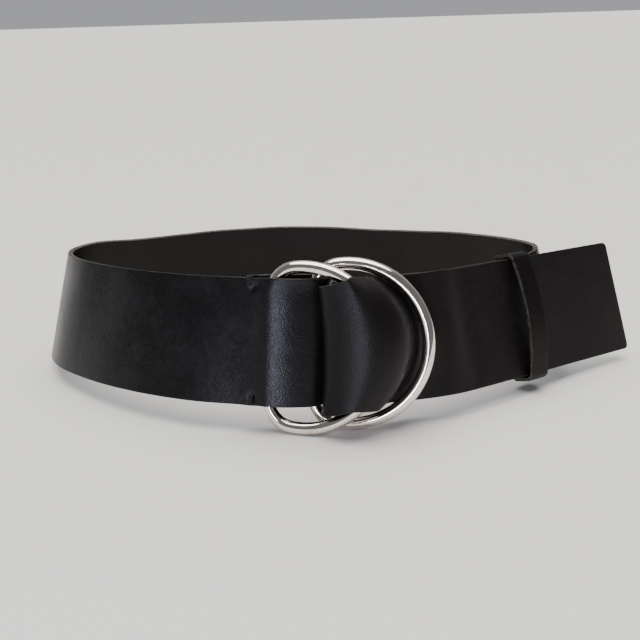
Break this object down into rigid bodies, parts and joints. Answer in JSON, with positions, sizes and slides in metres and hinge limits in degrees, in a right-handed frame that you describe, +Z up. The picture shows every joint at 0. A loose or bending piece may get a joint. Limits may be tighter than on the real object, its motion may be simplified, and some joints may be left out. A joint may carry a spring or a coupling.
{
  "type": "leather ring belt",
  "caption": "Wide black leather waist belt closed with metal D-rings, its tail threaded back between the rings and through a leather keeper to a straight-cut free end.",
  "frame": {"origin": "on the surface the belt stands on, in the middle of its box in X and Y", "axes": "+X to the right along the front with the free end, -Y to the front with the rings, +Z up along the waist's axis"},
  "size_m": [0.3262, 0.2068, 0.0794],
  "materials": {
    "strap_leather": "smooth black leather with a soft sheen, raw cut edges",
    "keeper_leather": "smooth black leather",
    "ring_chrome": "polished, with light wear",
    "thread": "black waxed thread"
  },
  "bodies": {
    "root": {"strap": "strap_leather", "ring_left": "ring_chrome", "ring_right": "ring_chrome", "keeper": "keeper_leather"}
  },
  "joints": []
}
